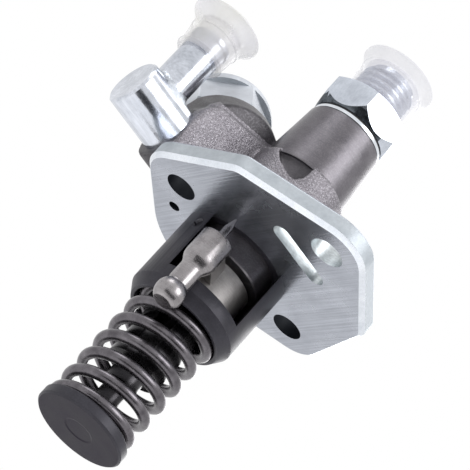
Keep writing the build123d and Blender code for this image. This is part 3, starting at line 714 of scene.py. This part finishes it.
# column sleeve and nose ring, turned
column = {"low": 20.9, "foot": 21.25, "top": 36.0, "lowR": 9.70, "highR": 8.55, "edge": 0.4,
          "boreR": 6.95, "round": 0.08, "around": 128}
columnSleeve = turnPiece("columnSleeve", [
    (column["boreR"], column["low"]), (column["lowR"], column["low"]), (column["lowR"], column["foot"]),
    (column["highR"], column["top"] - column["edge"]), (column["highR"] - column["edge"], column["top"]),
    (column["boreR"], column["top"]), (column["boreR"], column["low"])],
    segments=column["around"], hollow=True)
roundEdges(columnSleeve, column["round"])
dress(columnSleeve, "turnedIron", "housing", ["pump_body"])

nose = {"outer": 9.1, "inner": 5.04, "low": -5.0, "high": 4.0, "edge": 0.3, "round": 0.08}
noseRing = turnPiece("noseRing", [
    (nose["inner"], nose["low"]), (nose["outer"] - nose["edge"], nose["low"]),
    (nose["outer"], nose["low"] + nose["edge"]), (nose["outer"], nose["high"]),
    (nose["inner"], nose["high"]), (nose["inner"], nose["low"])], hollow=True)
roundEdges(noseRing, nose["round"])
dress(noseRing, "turnedIron", "housing", ["pump_body"])
print("column and nose ready")

# black sleeve under the flange; its narrow strips that face up or down are rubbed bright
cage = {"edge": 0.20, "smooth": 25, "rubWidth": 0.17, "rubFacing": 0.15}
pilotCage = roundEdges(nodeCopy("pilot_cage", "pilotCage"), cage["edge"], smooth=cage["smooth"],
                       weigh=False)
dress(pilotCage, "blackSteel", "housing", ["pilot_cage"])
pilotCage.data.materials.append(paints["rubbedSteel"])
for face in pilotCage.data.polygons:
    corners = [pilotCage.data.vertices[index].co for index in face.vertices]
    longest = max((a - b).length for a, b in zip(corners, corners[1:] + corners[:1]))
    if face.area / longest < cage["rubWidth"] * mm and abs(face.normal.z) > cage["rubFacing"]:
        face.material_index = 1

# tappet disc with the faint ring on its face
tappet = {"edge": 0.18, "faceZ": -48.4, "flatFacing": 0.999, "markIn": 6.2, "markWide": 0.45,
          "markDeep": 0.10, "smooth": 12, "sideR": 9, "sideFacing": 0.95}
tappetDisc = roundEdges(nodeCopy("lower_spring_seat", "tappetDisc"), tappet["edge"])
bpy.ops.mesh.customdata_custom_splitnormals_clear()
for face in tappetDisc.data.polygons:
    face.select = face.normal.z < -tappet["flatFacing"] and face.center.z < tappet["faceZ"] * mm
bpy.ops.object.mode_set(mode="EDIT")
bpy.ops.mesh.select_mode(type="FACE")
bpy.ops.mesh.inset(thickness=tappet["markIn"] * mm)
bpy.ops.mesh.inset(thickness=tappet["markWide"] * mm, depth=-tappet["markDeep"] * mm)
bpy.ops.mesh.select_mode(type="VERT")
bpy.ops.object.mode_set(mode="OBJECT")
roundEdges(tappetDisc, 0, smooth=tappet["smooth"])
dress(tappetDisc, "tappetSteel", "tappet", ["lower_spring_seat"])


def onTappetSide(place, facing):
    return facing.z > -tappet["sideFacing"] and math.hypot(place.x, place.y) > tappet["sideR"]


paintFaces(tappetDisc, "blackSteel", onTappetSide)

# return spring
spring = {"radius": 8.4, "wire": 2.4, "low": -46.0, "high": -14.7, "turns": 6.05, "start": -117.5,
          "deadRise": 2.25, "ease": 0.12, "perTurn": 64, "section": 20, "smooth": 50}


# height of the wire's centre in mm at a number of turns past the lower flat end
def springHeight(turn):
    rise = spring["high"] - spring["low"] - spring["wire"]
    pitch = rise / spring["turns"]
    base = spring["low"] + spring["wire"] / 2
    if turn < 0:
        return base + spring["deadRise"] * turn
    if turn > spring["turns"]:
        return base + rise + spring["deadRise"] * (turn - spring["turns"])
    return base + pitch * turn


# heights averaged over a short stretch, so that the wire eases into its flat ends
def easedHeight(turn):
    parts = [springHeight(turn + spring["ease"] * (step / 4 - 1)) for step in range(9)]
    return sum(parts) / len(parts)


bpy.ops.object.select_all(action="DESELECT")
bpy.ops.mesh.primitive_circle_add(vertices=spring["section"], radius=spring["wire"] / 2 * mm,
                                  location=(spring["radius"] * mm, 0, 0), rotation=(math.radians(90), 0, 0))
plungerSpring = bpy.context.object
plungerSpring.name = "plungerSpring"
bpy.ops.object.transform_apply(location=True, rotation=True, scale=True)
allTurns = spring["turns"] + 2
screw = plungerSpring.modifiers.new("winding", "SCREW")
screw.axis = "Z"
screw.angle = 2 * math.pi * allTurns
screw.steps = screw.render_steps = round(spring["perTurn"] * allTurns)
screw.use_merge_vertices = False
applyAll(plungerSpring)
firstAngle = math.radians(spring["start"]) - 2 * math.pi
stepCount = len(plungerSpring.data.vertices) // spring["section"] - 1
lowLimit, highLimit = spring["low"] * mm, spring["high"] * mm
cosine, sine = math.cos(firstAngle), math.sin(firstAngle)
for index, vertex in enumerate(plungerSpring.data.vertices):
    turn = (index // spring["section"]) / stepCount * allTurns - 1
    x, y, z = vertex.co
    z += easedHeight(turn) * mm
    vertex.co = (x * cosine - y * sine, x * sine + y * cosine, min(max(z, lowLimit), highLimit))
sealMesh(plungerSpring)
bpy.ops.object.shade_smooth_by_angle(angle=math.radians(spring["smooth"]))
dress(plungerSpring, "springSteel", "housing", ["plunger_spring"])
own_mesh(plungerSpring)
print("spring ready")

# control parts
pin = {"centre": (-9.765, -10.921), "ballR": 3.15, "ballZ": -21.2, "flatDrop": 2.4, "flatShare": 0.92,
       "flatStep": 0.02, "ballSteps": 22, "neckR": 2.35, "neckStep": 0.06, "neckRise": (0.3, 0.7),
       "smooth": 38, "around": 80,
       # radius and height of the rings from the neck over the body to the point
       "profile": [(2.35, -14.9), (2.38, -14.6), (2.50, -14.15), (2.78, -13.65), (3.10, -13.1),
                   (3.30, -12.6), (3.40, -11.7), (3.40, -6.6), (3.32, -6.38), (3.12, -6.3), (0.86, -6.3),
                   (0.85, -3.0), (0.60, -2.1), (0.30, -1.05), (0.10, -0.45)]}
ballTop = math.sqrt(pin["ballR"] ** 2 - pin["neckR"] ** 2)
flatR = math.sqrt(pin["ballR"] ** 2 - pin["flatDrop"] ** 2)
ballStart = -math.degrees(math.asin(pin["flatDrop"] / pin["ballR"]))
ballStop = math.degrees(math.asin(ballTop / pin["ballR"]))
ballRings = [(flatR * pin["flatShare"], pin["ballZ"] - pin["flatDrop"] - pin["flatStep"])]
ballRings += arc(0, pin["ballZ"], pin["ballR"], ballStart, ballStop, pin["ballSteps"])
ballRings += [(pin["neckR"] - pin["neckStep"], pin["ballZ"] + ballTop + pin["neckRise"][0]),
              (pin["neckR"], pin["ballZ"] + ballTop + pin["neckRise"][1])]
ballRings += pin["profile"]
ballPin = turnPiece("ballPin", ballRings, centre=pin["centre"], segments=pin["around"])
roundEdges(ballPin, 0, smooth=pin["smooth"])
dress(ballPin, "groundSteel", "control", ["ball_pin"])
controls = {"edge": 0.12, "oiledBelow": -13.2}
controlArm = roundEdges(nodeCopy("control_arm", "controlArm"), controls["edge"])
dress(controlArm, "turnedSteel", "control", ["control_arm"])
controlSleeve = roundEdges(nodeCopy("control_sleeve", "controlSleeve"), controls["edge"])
dress(controlSleeve, "turnedSteel", "control", ["control_sleeve"])
paintFaces(controlSleeve, "oiledSteel", lambda place, facing: place.z < controls["oiledBelow"])
print("control parts ready")

# outlet and plug
holder = {"edge": 0.10, "coneHeights": (36.0, 38.6), "coneFacings": (-0.97, -0.2), "litAzimuths": (-72, 90)}
valveHolder = roundEdges(nodeCopy("delivery_valve_holder", "valveHolder"), holder["edge"])
dress(valveHolder, "holderZinc", "housing", ["delivery_valve_holder"])


# painted shade on the cone under the hexagon, apart from its lit side
def onShadedCone(place, facing):
    azimuth = math.degrees(math.atan2(place.y, place.x))
    inHeight = holder["coneHeights"][0] < place.z < holder["coneHeights"][1]
    sloping = holder["coneFacings"][0] < facing.z < holder["coneFacings"][1]
    lit = holder["litAzimuths"][0] < azimuth < holder["litAzimuths"][1]
    return inHeight and sloping and not lit


paintFaces(valveHolder, "shadedConeZinc", onShadedCone)
plug = {"edge": 0.14, "baseFacing": -0.2}
rearPlug = roundEdges(nodeCopy("rear_plug", "rearPlug"), plug["edge"])
dress(rearPlug, "plugZinc", "housing", ["rear_plug"])
plugWay = Vector((0, math.sqrt(0.5), math.sqrt(0.5)))
paintFaces(rearPlug, "rimZinc", lambda place, facing: facing.dot(plugWay) < plug["baseFacing"])

# inlet elbow
elbowEdge = 0.14
inletElbow = roundEdges(nodeCopy("inlet_elbow", "inletElbow"), elbowEdge)

# soft fillet where the tube meets the round barrel
fillet = {"centre": (-29.8, 11.5), "barrelZ": 11.55, "barrelR": 5.7, "tubeR": 4.13, "rise": 1.3,
          "spread": 1.0, "sink": 0.03, "rings": 7, "layer": 0.1, "around": 96}
centreX, centreY = fillet["centre"]
bpy.ops.object.select_all(action="DESELECT")
bpy.ops.mesh.primitive_circle_add(vertices=fillet["around"], radius=fillet["tubeR"] * mm,
                                  location=(centreX * mm, centreY * mm, 0))
tubeFillet = bpy.context.object
tubeFillet.name = "tubeFillet"
bpy.ops.object.transform_apply(location=True, rotation=True, scale=True)
bpy.ops.object.mode_set(mode="EDIT")
bpy.ops.mesh.select_all(action="SELECT")
for ring in range(fillet["rings"] - 1):
    bpy.ops.mesh.extrude_region_move(TRANSFORM_OT_translate={"value": (0, 0, fillet["layer"] * mm)})
bpy.ops.object.mode_set(mode="OBJECT")
for index, vertex in enumerate(tubeFillet.data.vertices):
    ring, place = divmod(index, fillet["around"])
    sweep = math.pi / 2 * ring / (fillet["rings"] - 1)
    reach = fillet["tubeR"] + fillet["spread"] * (1 - math.cos(sweep))
    x = vertex.co.x / mm - centreX
    y = vertex.co.y / mm - centreY
    grow = reach / math.hypot(x, y)
    saddle = fillet["barrelZ"] + math.sqrt(fillet["barrelR"] ** 2 - (y * grow) ** 2)
    height = saddle - fillet["sink"] + fillet["rise"] * (1 - math.sin(sweep))
    vertex.co = ((centreX + x * grow) * mm, (centreY + y * grow) * mm, height * mm)
sealMesh(tubeFillet, fill=False)
bpy.ops.object.shade_smooth()
dress(tubeFillet, "brazeZinc", "housing", ["inlet_elbow"])
dress(inletElbow, "elbowZinc", "housing", ["inlet_elbow"])
print("fittings ready")

# clear caps: sizes of each, then what both share, in mm
caps = {
    "outletCap": {"node": "outlet_cap", "body": "outlet_cover", "centre": (0, 0), "paint": "outletClear",
                  "lowR": 6.9, "highR": 7.1, "low": 44.7, "flare": 53.2, "brimR": 8.5, "top": 55.0,
                  "beads": (45.2, 52.2)},
    "inletCap": {"node": "inlet_cap", "body": "inlet_cover", "centre": (-29.8, 11.5),
                 "paint": "inletClear", "lowR": 5.2, "highR": 5.7, "low": 26.4, "flare": 33.0,
                 "brimR": 8.0, "top": 36.1, "beads": (27.0, 31.8)},
}
mould = {"wall": 0.7, "brimWall": 0.9, "openRound": 0.15, "openDrop": 0.02, "beadR": 0.32,
         "beadSink": 0.08, "beadSweep": 75, "beadSteps": 6, "flareRun": 0.4, "flareOut": 0.12,
         "brimSlope": (0.35, 0.25), "brimEase": 0.06, "rimRound": (0.12, 0.05), "rimFlat": 0.4,
         "mouthFlat": 0.2, "mouthRound": (0.05, 0.25), "floorR": 0.4, "floorDrop": 0.02,
         "innerRound": 0.3, "smooth": 40}
for name, cap in caps.items():
    innerLow, innerHigh = cap["lowR"] - mould["wall"], cap["highR"] - mould["wall"]
    low, flare, top, brimR = cap["low"], cap["flare"], cap["top"], cap["brimR"]
    lip = mould["brimWall"] / 2
    slope = (cap["highR"] - cap["lowR"]) / (flare - low)
    rings = [(innerLow, low), (innerLow + mould["openRound"], low - mould["openDrop"]),
             (cap["lowR"] - mould["openRound"], low)]
    for bead in cap["beads"]:
        wallR = cap["lowR"] + slope * (bead - low)
        rings += arc(wallR - mould["beadSink"], bead, mould["beadR"], -mould["beadSweep"],
                     mould["beadSweep"], mould["beadSteps"])
    rings += [(cap["highR"], flare - mould["flareRun"]), (cap["highR"] + mould["flareOut"], flare)]
    rings += [(brimR - mould["brimSlope"][0], top - lip - mould["brimSlope"][1]),
              (brimR - mould["brimEase"], top - lip)]
    rings += [(brimR, top - lip / 2), (brimR - mould["rimRound"][0], top - mould["rimRound"][1])]
    rings += [(brimR - mould["rimFlat"], top), (innerHigh + mould["mouthFlat"], top)]
    rings += [(innerHigh - mould["mouthRound"][0], top - mould["mouthRound"][1]),
              (innerHigh - lip, top - mould["brimWall"])]
    rings += [(mould["floorR"], top - mould["brimWall"] - mould["floorDrop"])]
    outer = turnPiece(name, rings, centre=cap["centre"], hollow=True)
    floorZ = top - 2 * mould["brimWall"]
    inner = [(mould["floorR"], floorZ), (innerHigh - mould["innerRound"], floorZ),
             (innerHigh, floorZ - mould["innerRound"]), (innerLow, low)]
    wall = turnPiece(name + "Inner", inner, centre=cap["centre"], hollow=True)
    pickOnly(outer)
    wall.select_set(True)
    bpy.ops.object.join()
    sealMesh(outer, gap=mergeGap["cap"])
    roundEdges(outer, 0, smooth=mould["smooth"])
    dress(outer, cap["paint"], cap["body"], [cap["node"]])
print("caps ready")

# finishes on the nodes that stay
plainNodes = {
    "cage_pins": "blackSteel", "plunger_barrel": "turnedSteel", "barrel_dowel": "turnedSteel",
    "upper_spring_seat": "blackSteel", "delivery_valve_seat": "turnedSteel",
    "delivery_gasket": "washerMetal", "delivery_valve_spring": "springSteel",
    "holder_washer": "washerMetal", "holder_o_ring": "blackRubber", "inlet_o_ring": "blackRubber",
    # the plug washer takes the boss's painted shade too
    "rear_plug_washer": "shadedBossIron", "plunger": "oiledSteel", "delivery_valve": "turnedSteel",
}
for node, paint in plainNodes.items():
    nodes[node].data.materials.clear()
    nodes[node].data.materials.append(paints[paint])
print("node finishes ready")
